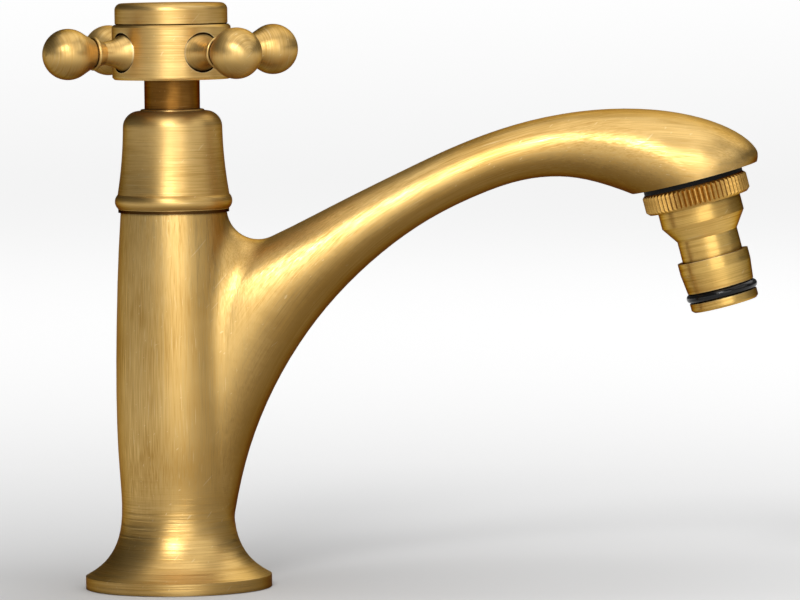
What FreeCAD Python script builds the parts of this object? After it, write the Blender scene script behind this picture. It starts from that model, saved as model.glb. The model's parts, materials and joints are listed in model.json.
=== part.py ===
import FreeCAD, Part
import math
import os
from types import SimpleNamespace

import Sketcher
from FreeCAD import Placement, Rotation, Vector

# A cold basin pillar tap: one casting with a swan spout, a quarter-turn ceramic headwork under a bell
# bonnet, a cross handle with ball-ended spokes, and a quick-connect hose adapter screwed into the spout.
# Millimetres and degrees. +Z is up, the spout points along +X, and the origin is the middle of the base.

DIMENSIONS = {
    # Casting, base and column
    "base_radius": 21.7,
    "base_rim_height": 2.8,
    "rim_height": 87.5,
    "stump_height": 10.0,
    "stump_radius": 11.5,
    "column_shoulder_radius": 12.8,
    "column_shoulder_height": 83.5,
    "column_belly_radius": 13.7,
    "column_belly_height": 66.0,
    "column_waist_radius": 14.5,
    "column_waist_height": 27.0,
    "column_cove_radius": 11.3,
    "column_cove_height": 8.2,
    # Casting, swan spout
    "arch_foot_reach": 12.2,
    "arch_centre_height": 2.5,
    "arch_radius": 95.8,
    "arch_start_angle": 2.0,
    "spout_root_angle": 35.8,
    "spout_root_height": 27.0,
    "spout_root_width": 21.0,
    "spout_foot_height": 19.0,
    "spout_waist_angle": 68.0,
    "spout_waist_height": 12.3,
    "spout_waist_width": 13.6,
    "underside_sag": 1.0,
    "underside_sag_angle": 60.0,
    "spout_head_width": 27.6,
    "spout_lip_height": 2.0,
    "crotch_fillet": 7.3,
    "outlet_reach": 120.5,
    "outlet_height": 93.85,
    "outlet_tilt": 14.2,
    "mouth_back": 14.4,
    "mouth_front": 16.2,
    # Casting, waterways
    "inlet_radius": 9.3,
    "inlet_depth": 12.0,
    "riser_radius": 6.0,
    "chamber_radius": 10.5,
    "seat_height": 60.0,
    "waterway_radius": 4.0,
    "waterway_entry_rise": 8.0,
    "socket_radius": 9.0,
    "socket_depth": 6.2,
    "throat_radius": 5.5,
    "throat_depth": 11.0,
    "gasket_inner_radius": 13.5,
    "gasket_outer_radius": 19.5,
    "gasket_thickness": 1.6,
    # Clearances between pieces
    "running_clearance": 0.05,
    "thread_clearance": 0.05,
    "loose_clearance": 0.2,
    "turning_clearance": 0.3,
    # Headwork
    "headwork_washer_radius": 11.4,
    "headwork_washer_thickness": 0.8,
    "collar_radius": 11.6,
    "collar_height": 4.0,
    "hex_across_flats": 17.0,
    "hex_height": 5.0,
    "gland_radius": 7.0,
    "gland_height": 5.5,
    "barrel_radius": 9.0,
    "barrel_foot_gap": 0.5,
    "headwork_thread_length": 11.5,
    "window_width": 9.0,
    "disc_radius": 7.5,
    "seal_thickness": 2.6,
    "seal_bore_radius": 5.4,
    "fixed_disc_thickness": 3.0,
    "moving_disc_thickness": 3.4,
    "disc_lug_width": 2.4,
    "disc_lug_length": 0.9,
    "port_inner_radius": 1.8,
    "port_outer_radius": 5.4,
    "port_half_angle": 38.0,
    # Spindle
    "driver_radius": 7.0,
    "driver_thickness": 3.2,
    "blade_width": 4.0,
    "blade_length": 11.0,
    "blade_depth": 1.4,
    "thrust_washer_thickness": 0.8,
    "shaft_radius": 4.0,
    "o_ring_section_radius": 0.55,
    "o_ring_groove_width": 1.5,
    "o_ring_gap": 0.01,
    "o_ring_lower_rise": 10.0,
    "o_ring_upper_rise": 15.0,
    "clip_thickness": 0.8,
    "clip_radius": 6.0,
    "clip_groove_radius": 3.2,
    "clip_sweep": 300.0,
    "spline_count": 20,
    "spline_root_radius": 3.4,
    "spline_tip_radius": 3.9,
    "spline_start_gap": 1.5,
    "screw_radius": 2.0,
    "screw_engagement": 9.0,
    "screw_head_radius": 3.8,
    "screw_head_height": 2.0,
    "screw_socket_across_flats": 2.5,
    "screw_socket_depth": 1.2,
    # Bonnet
    "bonnet_foot_radius": 12.9,
    "bonnet_bead_radius": 13.65,
    "bonnet_bead_bottom": 0.8,
    "bonnet_bead_top": 4.1,
    "bonnet_waist_radius": 13.0,
    "bonnet_shoulder_radius": 11.55,
    "bonnet_shoulder_round": 3.8,
    "bonnet_height": 23.9,
    "bonnet_lip_width": 0.8,
    "bonnet_lip_height": 0.4,
    "bonnet_cavity_radius": 10.5,
    "bonnet_top_thickness": 4.5,
    "bonnet_flank_hollow": 0.3,
    # Handle
    "handle_angle": 34.0,
    "boss_radius": 6.45,
    "boss_length": 12.1,
    "boss_visible_height": 6.9,
    "hub_radius": 13.8,
    "hub_height": 12.7,
    "hub_bottom_round": 0.5,
    "hub_top_chamfer": 0.5,
    "hub_recess_radius": 9.2,
    "hub_recess_depth": 2.7,
    "cap_radius": 13.1,
    "cap_height": 5.0,
    "cap_edge_round": 1.6,
    "cap_seam_chamfer": 0.3,
    "cap_spigot_depth": 2.0,
    "cap_spigot_wall": 1.4,
    "spoke_count": 4,
    "spoke_spot_face": 13.0,
    "spoke_tenon_radius": 2.6,
    "spoke_tenon_length": 5.0,
    "spoke_root_radius": 4.6,
    "spoke_neck_radius": 2.65,
    "spoke_neck_reach": 18.8,
    "spoke_bead_radius": 3.9,
    "spoke_bead_reach": 21.2,
    "spoke_bead_width": 0.9,
    "spoke_cone_radius": 3.3,
    "spoke_ball_radius": 5.9,
    "spoke_ball_reach": 28.0,
    # Hose adapter, measured outwards from the mouth of the spout
    "outlet_washer_radius": 11.75,
    "outlet_washer_thickness": 1.15,
    "spigot_length": 5.0,
    "knurl_count": 64,
    "knurl_radius": 12.4,
    "knurl_depth": 0.45,
    "knurl_notch_share": 0.85,
    "knurl_height": 4.8,
    "knurl_edge_chamfer": 0.7,
    "nipple_collar_radius": 9.8,
    "nipple_collar_end": 9.85,
    "nipple_groove_radius": 7.15,
    "nipple_groove_start": 13.65,
    "nipple_groove_end": 18.65,
    "nipple_shoulder_radius": 8.4,
    "nipple_shoulder_length": 2.6,
    "nipple_taper_radius": 7.85,
    "nipple_seal_start": 25.95,
    "nipple_seal_width": 2.4,
    "nipple_seal_section_radius": 1.05,
    "nipple_seal_depth": 1.5,
    "nipple_lip_radius": 8.0,
    "nipple_lip_round": 0.5,
    "nipple_length": 30.45,
    "nipple_bore_radius": 4.8,
}

# Shape laws of the spout: how fast it thickens towards its root, how its underside dips towards the
# mouth, how its crown falls towards the tip, and how many sections carry each part
ROOT_HEIGHT_POWER = 2.37
ROOT_WIDTH_POWER = 1.2
UNDERSIDE_POWER = 1.6
CROWN_POWER = 1.28
ARCH_SECTIONS = 9
HEAD_SECTIONS = 10
HEAD_SWEEP = 87.0


class Size:
    """A number together with the spreadsheet expression that gives it."""

    def __init__(self, value, text):
        self.value = value
        self.text = text

    def __add__(self, other):
        return Size(self.value + number(other), f"({self.text} + {formula(other)})")

    def __sub__(self, other):
        return Size(self.value - number(other), f"({self.text} - {formula(other)})")

    def __mul__(self, other):
        return Size(self.value * number(other), f"({self.text} * {formula(other)})")

    def __truediv__(self, other):
        return Size(self.value / number(other), f"({self.text} / {formula(other)})")

    def __pow__(self, other):
        return Size(self.value ** number(other), f"({self.text} ^ {formula(other)})")

    def __radd__(self, other):
        return Size(other, formula(other)) + self

    def __rsub__(self, other):
        return Size(other, formula(other)) - self

    def __rmul__(self, other):
        return Size(other, formula(other)) * self

    def __rtruediv__(self, other):
        return Size(other, formula(other)) / self

    def __neg__(self):
        return 0 - self


def number(size):
    return size.value if isinstance(size, Size) else size


def formula(size):
    return size.text if isinstance(size, Size) else repr(size)


def sine(angle):
    return Size(math.sin(math.radians(number(angle))), f"sin({formula(angle)})")


def cosine(angle):
    return Size(math.cos(math.radians(number(angle))), f"cos({formula(angle)})")


def angle_of_cosine(ratio):
    return Size(math.degrees(math.acos(ratio.value)), f"(acos({ratio.text}) / 1deg)")


def angle_of(rise, run):
    return Size(math.degrees(math.atan2(rise.value, run.value)), f"(atan2({rise.text}; {run.text}) / 1deg)")


def larger(first, second):
    return Size(max(number(first), number(second)), f"max({formula(first)}; {formula(second)})")


def smaller(first, second):
    return Size(min(number(first), number(second)), f"min({formula(first)}; {formula(second)})")


def length_of(run, rise):
    return (run * run + rise * rise) ** 0.5


# The document and its table of driving dimensions
doc = FreeCAD.newDocument("basin_tap")
sheet = doc.addObject("Spreadsheet::Sheet", "Dimensions")
for row, (alias, value) in enumerate(DIMENSIONS.items(), start=1):
    sheet.set(f"A{row}", alias)
    sheet.set(f"B{row}", str(value))
    sheet.setAlias(f"B{row}", alias)
doc.recompute()
dim = SimpleNamespace(**{alias: Size(value, f"Dimensions.{alias}") for alias, value in DIMENSIONS.items()})

# Heights up the column, each stacked on the one below
seal_top = dim.seat_height + dim.seal_thickness
fixed_disc_top = seal_top + dim.fixed_disc_thickness
moving_disc_top = fixed_disc_top + dim.moving_disc_thickness
driver_top = moving_disc_top + dim.driver_thickness
thrust_top = driver_top + dim.thrust_washer_thickness
washer_top = dim.rim_height + dim.headwork_washer_thickness
collar_top = washer_top + dim.collar_height
hex_top = collar_top + dim.hex_height
gland_top = hex_top + dim.gland_height
clip_top = gland_top + dim.clip_thickness
bonnet_top = dim.rim_height + dim.bonnet_height
stump_top = dim.rim_height + dim.stump_height
hub_bottom = bonnet_top + dim.boss_visible_height
boss_bottom = hub_bottom - dim.boss_length
hub_top = hub_bottom + dim.hub_height
spoke_height = hub_bottom + dim.hub_height / 2
recess_floor = hub_top - dim.hub_recess_depth
spindle_top = spoke_height - dim.spoke_tenon_radius - dim.turning_clearance
cap_top = hub_top + dim.cap_height
o_ring_heights = {"lower": thrust_top + dim.o_ring_lower_rise, "upper": thrust_top + dim.o_ring_upper_rise}

# The round underside of the spout stands upright at its foot
arch_centre_reach = dim.arch_foot_reach + dim.arch_radius

# Radii that fit in another piece
cavity_radius = dim.disc_radius + dim.turning_clearance
headwork_thread_radius = dim.chamber_radius - dim.thread_clearance
gland_bore_radius = dim.shaft_radius + dim.running_clearance
o_ring_radius = gland_bore_radius - dim.o_ring_gap - dim.o_ring_section_radius
o_ring_groove_radius = o_ring_radius - dim.o_ring_section_radius


def new_body(label):
    body = doc.addObject("PartDesign::Body", label)
    body.Label = label
    return body


def new_sketch(body, name, role):
    sketch = body.newObject("Sketcher::SketchObject", name)
    plane = next(feature for feature in body.Origin.OriginFeatures if feature.Role == role)
    sketch.AttachmentSupport = (plane, [""])
    sketch.MapMode = "FlatFace"
    return sketch


def raise_sketch(sketch, height):
    sketch.AttachmentOffset = Placement(Vector(0, 0, number(height)), Rotation())
    sketch.setExpression("AttachmentOffset.Base.z", formula(height))


def bind(sketch, constraints):
    # Adds pairs of a constraint and the size that drives it, or None
    first = sketch.ConstraintCount
    sketch.addConstraint([constraint for constraint, _ in constraints])
    for index, (_, size) in enumerate(constraints, start=first):
        if isinstance(size, Size):
            sketch.setExpression(f"Constraints[{index}]", size.text)


def pins(geometry, end, x, y):
    # Constraints that fix one point of a sketch at (x, y) from the sketch's origin
    constraints = []
    for kind, axis, size in (("DistanceX", -2, x), ("DistanceY", -1, y)):
        if isinstance(size, Size) or size != 0:
            constraints.append((Sketcher.Constraint(kind, -1, 1, geometry, end, number(size)), size))
        else:
            constraints.append((Sketcher.Constraint("PointOnObject", geometry, end, axis), None))
    return constraints


def arc_middle(start, end, bulge):
    # The middle of an arc that stands off its chord by the bulge, to the left on the way to its end
    run = end[0] - start[0]
    rise = end[1] - start[1]
    chord = length_of(run, rise)
    return ((start[0] + end[0]) / 2 - rise * bulge / chord, (start[1] + end[1]) / 2 + run * bulge / chord)


def quarter_bulge(radius):
    # The bulge of a quarter circle
    return radius * (1 - math.sqrt(0.5))


def draw_spline(sketch, poles):
    curve = Part.BSplineCurve()
    curve.buildFromPoles([Vector(number(pole[0]), number(pole[1]), 0) for pole in poles])
    geometry = sketch.addGeometry(curve)
    sketch.exposeInternalGeometry(geometry)
    for index, pole in enumerate(poles[1:-1], start=2):
        bind(sketch, pins(geometry + index, 3, pole[0], pole[1]))
    return geometry


def draw_loop(sketch, corners):
    # Draws a closed outline. A corner is (x, y), or (x, y, bulge) where an arc leads to it, or
    # (x, y, poles) where a smooth curve drawn by its poles does
    ends = []
    constraints = []
    for start, end in zip(corners[-1:] + corners[:-1], corners):
        first = Vector(number(start[0]), number(start[1]), 0)
        last = Vector(number(end[0]), number(end[1]), 0)
        if len(end) == 2:
            ends.append((sketch.addGeometry(Part.LineSegment(first, last)), 1, 2))
            continue
        if isinstance(end[2], list):
            ends.append((draw_spline(sketch, [start] + end[2] + [end]), 1, 2))
            continue
        middle = arc_middle(start, end, end[2])
        through = Vector(number(middle[0]), number(middle[1]), 0)
        clockwise = number(end[2]) > 0
        arc = Part.Arc(last, through, first) if clockwise else Part.Arc(first, through, last)
        geometry = sketch.addGeometry(arc)
        point = sketch.addGeometry(Part.Point(through), True)
        ends.append((geometry, 2, 1) if clockwise else (geometry, 1, 2))
        constraints += pins(point, 1, *middle)
        constraints.append((Sketcher.Constraint("PointOnObject", point, 1, geometry), None))
    for (before, _, leaves), (after, arrives, _), corner in zip(ends, ends[1:] + ends[:1], corners):
        constraints.append((Sketcher.Constraint("Coincident", before, leaves, after, arrives), None))
        constraints += pins(after, arrives, corner[0], corner[1])
    bind(sketch, constraints)


def draw_circle(sketch, radius):
    circle = sketch.addGeometry(Part.Circle(Vector(), Vector(0, 0, 1), number(radius)))
    bind(sketch, [
        (Sketcher.Constraint("Coincident", circle, 3, -1, 1), None),
        (Sketcher.Constraint("Radius", circle, number(radius)), radius),
    ])


def draw_oval(sketch, half_height, half_width):
    # Draws an ellipse as two halves that meet at its top and bottom, so that stacked ovals don't twist
    tall = half_height.value >= half_width.value
    long_half, short_half = (half_height, half_width) if tall else (half_width, half_height)
    long_end = Vector(0, long_half.value, 0) if tall else Vector(long_half.value, 0, 0)
    short_end = Vector(-short_half.value, 0, 0) if tall else Vector(0, short_half.value, 0)
    ellipse = Part.Ellipse(long_end, short_end, Vector())
    top = 0 if tall else math.pi / 2
    for begin in (top, top + math.pi):
        half = sketch.addGeometry(Part.ArcOfEllipse(ellipse, begin, begin + math.pi))
        sketch.exposeInternalGeometry(half)
        bind(sketch, [
            (Sketcher.Constraint("Coincident", half, 3, -1, 1), None),
            (Sketcher.Constraint("Vertical" if tall else "Horizontal", half + 1), None),
            (Sketcher.Constraint("Distance", half + 1, long_half.value * 2), long_half * 2),
            (Sketcher.Constraint("Distance", half + 2, short_half.value * 2), short_half * 2),
            (Sketcher.Constraint("PointOnObject", half, 1, -2), None),
            (Sketcher.Constraint("PointOnObject", half, 2, -2), None),
        ])


def toothed_ring(count, root_radius, tip_radius):
    # Corners of a ring of pointed teeth
    corners = []
    for index in range(2 * count):
        radius = tip_radius if index % 2 else root_radius
        turn = index * math.pi / count
        corners.append((radius * math.cos(turn), radius * math.sin(turn)))
    return corners


def hexagon(across_flats):
    corner_radius = across_flats / math.sqrt(3)
    turns = [math.radians(60 * index) for index in range(6)]
    return [(corner_radius * math.cos(turn), corner_radius * math.sin(turn)) for turn in turns]


def rectangle(x_low, y_low, x_high, y_high):
    return [(x_low, y_low), (x_high, y_low), (x_high, y_high), (x_low, y_high)]


def outline(body, name, role, corners, height=None):
    sketch = new_sketch(body, name, role)
    draw_loop(sketch, corners)
    if height is not None:
        raise_sketch(sketch, height)
    return sketch


def revolve(body, kind, name, sketch, axis="V_Axis", angle=360.0):
    feature = body.newObject(f"PartDesign::{kind}", name)
    feature.Profile = sketch
    feature.ReferenceAxis = (sketch, [axis])
    feature.Angle = angle
    doc.recompute()
    return feature


def turned(label, corners, axis="V_Axis", angle=360.0):
    # A piece turned about Z, or about X with axis H_Axis, from corners given as (radius, height)
    body = new_body(label)
    profile = outline(body, f"{label}_profile", "XZ_Plane", corners)
    revolve(body, "Revolution", f"{label}_turned", profile, axis, angle)
    return body


def bore(body, name, corners):
    before = body.Shape.Volume
    revolve(body, "Groove", name, outline(body, f"{name}_profile", "XZ_Plane", corners))
    assert body.Shape.Volume < before, name


def pad(body, name, sketch, length):
    feature = body.newObject("PartDesign::Pad", name)
    feature.Profile = sketch
    feature.setExpression("Length", formula(length))
    doc.recompute()
    return feature


def pocket(body, name, sketch, length, reverse=False, both_ways=False):
    before = body.Shape.Volume
    feature = body.newObject("PartDesign::Pocket", name)
    feature.Profile = sketch
    feature.setExpression("Length", formula(length))
    feature.Reversed = reverse
    if both_ways:
        feature.SideType = "Symmetric"
    doc.recompute()
    assert body.Shape.Volume < before, name
    return feature


def round_the_axis(body, name, features, count):
    pattern = body.newObject("PartDesign::PolarPattern", name)
    pattern.Originals = features
    upright = next(feature for feature in body.Origin.OriginFeatures if feature.Role == "Z_Axis")
    pattern.Axis = (upright, [""])
    pattern.Angle = 360.0
    pattern.Occurrences = int(number(count))
    body.Tip = pattern
    doc.recompute()


def place(piece, x, z, axis, angle):
    piece.Placement = Placement(Vector(number(x), 0, number(z)), Rotation(axis, number(angle)))
    piece.setExpression("Placement.Base.x", formula(x))
    piece.setExpression("Placement.Base.z", formula(z))
    piece.setExpression("Placement.Rotation.Angle", formula(angle))
    return piece


def turn_with_handle(piece):
    return place(piece, 0, 0, Vector(0, 0, 1), dim.handle_angle)


def along_outlet(piece, distance=0):
    # Stands a piece that is modelled up Z on the outlet's axis, pointing out of the spout
    x = dim.outlet_reach + sine(dim.outlet_tilt) * distance
    z = dim.outlet_height - cosine(dim.outlet_tilt) * distance
    return place(piece, x, z, Vector(0, 1, 0), 180 - dim.outlet_tilt)


def o_ring(label, radius, section_radius):
    ring = doc.addObject("Part::Torus", label)
    ring.Label = label
    ring.setExpression("Radius1", formula(radius))
    ring.setExpression("Radius2", formula(section_radius))
    return ring


def flat_ring(label, inner_radius, outer_radius, bottom, top):
    return turned(label, rectangle(inner_radius, bottom, outer_radius, top))


def spout_section(body, name, x, z, lean, half_height, half_width):
    sketch = new_sketch(body, name, "YZ_Plane")
    sketch.AttachmentOffset = Placement(Vector(0, z.value, x.value), Rotation(Vector(-1, 0, 0), lean.value))
    sketch.setExpression("AttachmentOffset.Base.y", z.text)
    sketch.setExpression("AttachmentOffset.Base.z", x.text)
    sketch.setExpression("AttachmentOffset.Rotation.Angle", lean.text)
    draw_oval(sketch, half_height, half_width)
    return sketch


def arch_sections(body):
    # Sections square to the round underside, from inside the foot of the column to the start of the head
    sections = []
    finish = 90 - dim.outlet_tilt
    for index in range(ARCH_SECTIONS):
        angle = dim.arch_start_angle + (finish - dim.arch_start_angle) * (index / ARCH_SECTIONS)
        share = (dim.spout_waist_angle - angle) / (dim.spout_waist_angle - dim.spout_root_angle)
        share = smaller(larger(share, 0), 1)
        depth = (dim.spout_root_angle - angle) / (dim.spout_root_angle - dim.arch_start_angle)
        sag = (angle - dim.underside_sag_angle) / (finish - dim.underside_sag_angle)
        sag = dim.underside_sag * larger(sag, 0) ** 2
        height = dim.spout_waist_height + sag
        height = height + (dim.spout_root_height - dim.spout_waist_height) * share ** ROOT_HEIGHT_POWER
        height = height - (dim.spout_root_height - dim.spout_foot_height) * larger(depth, 0)
        width = dim.spout_waist_width
        width = width + (dim.spout_root_width - dim.spout_waist_width) * share ** ROOT_WIDTH_POWER
        middle = dim.arch_radius - sag + height / 2
        x = arch_centre_reach - middle * cosine(angle)
        z = dim.arch_centre_height + middle * sine(angle)
        sections.append(spout_section(body, f"arch_{index}", x, z, 90 - angle, height / 2, width / 2))
    return sections


def head_sections(body):
    # Sections square to the mouth, from the start of the head to its rounded tip
    sections = []
    across = arch_centre_reach - dim.outlet_reach
    down = dim.arch_centre_height - dim.outlet_height
    start = across * cosine(dim.outlet_tilt) + down * sine(dim.outlet_tilt)
    arch = down * cosine(dim.outlet_tilt) - across * sine(dim.outlet_tilt) + dim.arch_radius
    underside = arch - dim.underside_sag
    crown = arch + dim.spout_waist_height - dim.spout_lip_height
    end_radius = dim.spout_head_width / 2
    end_centre = dim.mouth_front - end_radius
    for index in range(HEAD_SECTIONS + 1):
        sweep = HEAD_SWEEP * index / HEAD_SECTIONS
        along = start + (dim.mouth_front - start) * math.sin(math.radians(sweep))
        fall = math.cos(math.radians(sweep)) ** CROWN_POWER
        top = dim.spout_lip_height + crown * fall
        dip = (along - start) / (0 - dim.mouth_back - start)
        bottom = larger(underside * (1 - dip ** UNDERSIDE_POWER), dim.spout_lip_height * 2 - top)
        spread = smaller((along - start) / (end_centre - start), 1)
        spread = spread * spread * (3 - spread * 2)
        beyond = larger((along - end_centre) / end_radius, 0)
        width = dim.spout_waist_width + (dim.spout_head_width - dim.spout_waist_width) * spread
        width = width * (1 - beyond * beyond) ** 0.5
        middle = (top + bottom) / 2
        x = dim.outlet_reach + along * cosine(dim.outlet_tilt) - middle * sine(dim.outlet_tilt)
        z = dim.outlet_height + along * sine(dim.outlet_tilt) + middle * cosine(dim.outlet_tilt)
        half_height = (top - bottom) / 2
        sections.append(spout_section(body, f"head_{index}", x, z, dim.outlet_tilt, half_height, width / 2))
    return sections


def junction_edges(shape):
    # Edges where the lofted spout meets the turned column
    edges = []
    for index, edge in enumerate(shape.Edges, start=1):
        kinds = [face.Surface.TypeId for face in shape.ancestorsOfType(edge, Part.Face)]
        lofted = kinds.count("Part::GeomBSplineSurface")
        turned_side = kinds.count("Part::GeomToroid") + kinds.count("Part::GeomSurfaceOfRevolution")
        if lofted == 1 and turned_side == 1:
            edges.append(f"Edge{index}")
    return edges


def outlet_sketch(body, name, radius):
    sketch = new_sketch(body, name, "XY_Plane")
    sketch.AttachmentOffset = Placement(
        Vector(dim.outlet_reach.value, 0, dim.outlet_height.value),
        Rotation(Vector(0, -1, 0), dim.outlet_tilt.value),
    )
    sketch.setExpression("AttachmentOffset.Base.x", dim.outlet_reach.text)
    sketch.setExpression("AttachmentOffset.Base.z", dim.outlet_height.text)
    sketch.setExpression("AttachmentOffset.Rotation.Angle", dim.outlet_tilt.text)
    draw_circle(sketch, radius)
    return sketch


def cut_mouth(body):
    # Trims the head flat at the mouth, then bores the threaded socket and the throat above it
    def point(along, up):
        x = dim.outlet_reach + along * cosine(dim.outlet_tilt) - up * sine(dim.outlet_tilt)
        z = dim.outlet_height + along * sine(dim.outlet_tilt) + up * cosine(dim.outlet_tilt)
        return (x, z)

    back = 0 - dim.mouth_back * 2
    front = dim.mouth_front * 2
    depth = 0 - dim.spout_head_width
    trim = [point(back, 0), point(back, depth), point(front, depth), point(front, 0)]
    pocket(body, "mouth_trim", outline(body, "mouth_trim_outline", "XZ_Plane", trim),
           dim.spout_head_width * 2, both_ways=True)
    pocket(body, "socket", outlet_sketch(body, "socket_circle", dim.socket_radius), dim.socket_depth, True)
    pocket(body, "throat", outlet_sketch(body, "throat_circle", dim.throat_radius), dim.throat_depth, True)


def cut_waterway(body):
    # A bore from the valve chamber, straight up the spout and then round its arch to the throat
    radius = dim.arch_radius + dim.spout_waist_height / 2
    entry_x = dim.chamber_radius - dim.waterway_radius / 2
    entry_z = dim.seat_height + dim.waterway_entry_rise
    run = arch_centre_reach - entry_x
    rise = entry_z - dim.arch_centre_height
    entry_angle = angle_of(rise, run)
    turn = entry_angle + angle_of_cosine(radius / length_of(run, rise))

    def on_arch(angle):
        return (arch_centre_reach - radius * cosine(angle), dim.arch_centre_height + radius * sine(angle))

    throat_middle = dim.outlet_reach - dim.throat_radius / 2
    throat_top = dim.outlet_height + dim.throat_depth
    finish = angle_of(throat_top - dim.arch_centre_height, arch_centre_reach - throat_middle)
    bend_start = on_arch(turn)
    bend_middle = on_arch((turn + finish) / 2)
    bend_end = on_arch(finish)
    path = new_sketch(body, "waterway_path", "XZ_Plane")
    corners = [(entry_x, entry_z), bend_start, bend_middle, bend_end]
    entry, start, middle, end = [Vector(number(x), number(z), 0) for x, z in corners]
    line = path.addGeometry(Part.LineSegment(entry, start))
    arc = path.addGeometry(Part.Arc(end, middle, start))
    point = path.addGeometry(Part.Point(middle), True)
    bind(path, [
        *pins(line, 1, entry_x, entry_z),
        *pins(line, 2, *bend_start),
        *pins(point, 1, *bend_middle),
        *pins(arc, 1, *bend_end),
        (Sketcher.Constraint("Coincident", line, 2, arc, 2), None),
        (Sketcher.Constraint("PointOnObject", point, 1, arc), None),
    ])
    section = new_sketch(body, "waterway_section", "YZ_Plane")
    section.AttachmentOffset = Placement(
        Vector(0, entry_z.value, entry_x.value), Rotation(Vector(-1, 0, 0), 90 - turn.value))
    section.setExpression("AttachmentOffset.Base.y", entry_z.text)
    section.setExpression("AttachmentOffset.Base.z", entry_x.text)
    section.setExpression("AttachmentOffset.Rotation.Angle", (90 - turn).text)
    draw_circle(section, dim.waterway_radius)
    before = body.Shape.Volume
    pipe = body.newObject("PartDesign::SubtractivePipe", "waterway")
    pipe.Profile = section
    pipe.Spine = (path, ["Edge1", "Edge2"])
    doc.recompute()
    assert body.Shape.Volume < before, "waterway"


def tap_body():
    # The column is drawn on its back side, so that its seam line keeps away from the spout, and taller
    # than it ends up, so that the spout's blend runs on to the rim
    body = turned("tap_body", [
        (0, 0),
        (0, stump_top),
        (-dim.stump_radius, stump_top),
        (-dim.base_radius, dim.base_rim_height, [
            (-dim.column_shoulder_radius, dim.column_shoulder_height),
            (-dim.column_belly_radius, dim.column_belly_height),
            (-dim.column_waist_radius, dim.column_waist_height),
            (-dim.column_cove_radius, dim.column_cove_height),
        ]),
        (-dim.base_radius, 0),
    ])
    sections = arch_sections(body) + head_sections(body)
    spout = body.newObject("PartDesign::AdditiveLoft", "swan_spout")
    spout.Profile = sections[0]
    spout.Sections = sections[1:]
    doc.recompute()
    blend = body.newObject("PartDesign::Fillet", "crotch")
    blend.Base = (spout, junction_edges(spout.Shape))
    blend.setExpression("Radius", dim.crotch_fillet.text)
    doc.recompute()
    bore(body, "rim_trim", rectangle(0, dim.rim_height, dim.base_radius, stump_top))
    cut_mouth(body)
    bore(body, "riser", [
        (0, 0),
        (dim.inlet_radius, 0),
        (dim.inlet_radius, dim.inlet_depth),
        (dim.riser_radius, dim.inlet_depth),
        (dim.riser_radius, dim.seat_height),
        (dim.chamber_radius, dim.seat_height),
        (dim.chamber_radius, dim.rim_height),
        (0, dim.rim_height),
    ])
    bore(body, "gasket_groove", rectangle(
        dim.gasket_inner_radius, 0, dim.gasket_outer_radius, dim.gasket_thickness))
    cut_waterway(body)
    return body


def base_gasket():
    inner = dim.gasket_inner_radius + dim.loose_clearance
    outer = dim.gasket_outer_radius - dim.loose_clearance
    return flat_ring("base_gasket", inner, outer, 0, dim.gasket_thickness)


def headwork_washer():
    inner = dim.chamber_radius
    return flat_ring("headwork_washer", inner, dim.headwork_washer_radius, dim.rim_height, washer_top)


def seat_seal():
    return flat_ring("seat_seal", dim.seal_bore_radius, dim.disc_radius, dim.seat_height, seal_top)


def thrust_washer():
    inner = dim.shaft_radius + dim.turning_clearance
    return flat_ring("thrust_washer", inner, dim.disc_radius, driver_top, thrust_top)


def headwork_body():
    foot = dim.seat_height + dim.barrel_foot_gap
    thread_bottom = dim.rim_height - dim.headwork_thread_length
    body = turned("headwork_body", [
        (0, foot),
        (dim.barrel_radius, foot),
        (dim.barrel_radius, thread_bottom),
        (headwork_thread_radius, thread_bottom),
        (headwork_thread_radius, washer_top),
        (dim.collar_radius, washer_top),
        (dim.collar_radius, collar_top),
        (dim.gland_radius, collar_top),
        (dim.gland_radius, gland_top),
        (0, gland_top),
    ])
    spanner_flats = outline(body, "spanner_hexagon", "XY_Plane", hexagon(dim.hex_across_flats), collar_top)
    pad(body, "spanner_flats", spanner_flats, dim.hex_height)
    bore(body, "gland_bore", [
        (0, foot),
        (cavity_radius, foot),
        (cavity_radius, thrust_top),
        (gland_bore_radius, thrust_top),
        (gland_bore_radius, gland_top),
        (0, gland_top),
    ])
    half_window = dim.window_width / 2
    window = rectangle(0 - half_window, fixed_disc_top, half_window, driver_top)
    pocket(body, "windows", outline(body, "window_outline", "XZ_Plane", window),
           dim.barrel_radius * 2 + dim.turning_clearance, both_ways=True)
    half_notch = dim.disc_lug_width / 2 + dim.loose_clearance
    notch = rectangle(0 - half_notch, foot, half_notch, fixed_disc_top)
    pocket(body, "lug_notches", outline(body, "notch_outline", "YZ_Plane", notch),
           dim.barrel_radius * 2 + dim.turning_clearance, both_ways=True)
    return turn_with_handle(body)


def cut_ports(body, first_angle, bottom, thickness):
    # Two opposite openings, each a sector between two radii
    def corner(radius, angle):
        turn = first_angle + angle
        return (radius * cosine(turn), radius * sine(turn))

    half = dim.port_half_angle
    outer_bulge = dim.port_outer_radius * (1 - cosine(half))
    inner_bulge = dim.port_inner_radius * (1 - cosine(half))
    sector = outline(body, f"{body.Label}_port_outline", "XY_Plane", [
        corner(dim.port_inner_radius, -half) + (inner_bulge,),
        corner(dim.port_outer_radius, -half),
        corner(dim.port_outer_radius, half) + (-outer_bulge,),
        corner(dim.port_inner_radius, half),
    ], bottom)
    port = pocket(body, f"{body.Label}_port", sector, thickness, True)
    round_the_axis(body, f"{body.Label}_ports", [port], 2)


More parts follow.
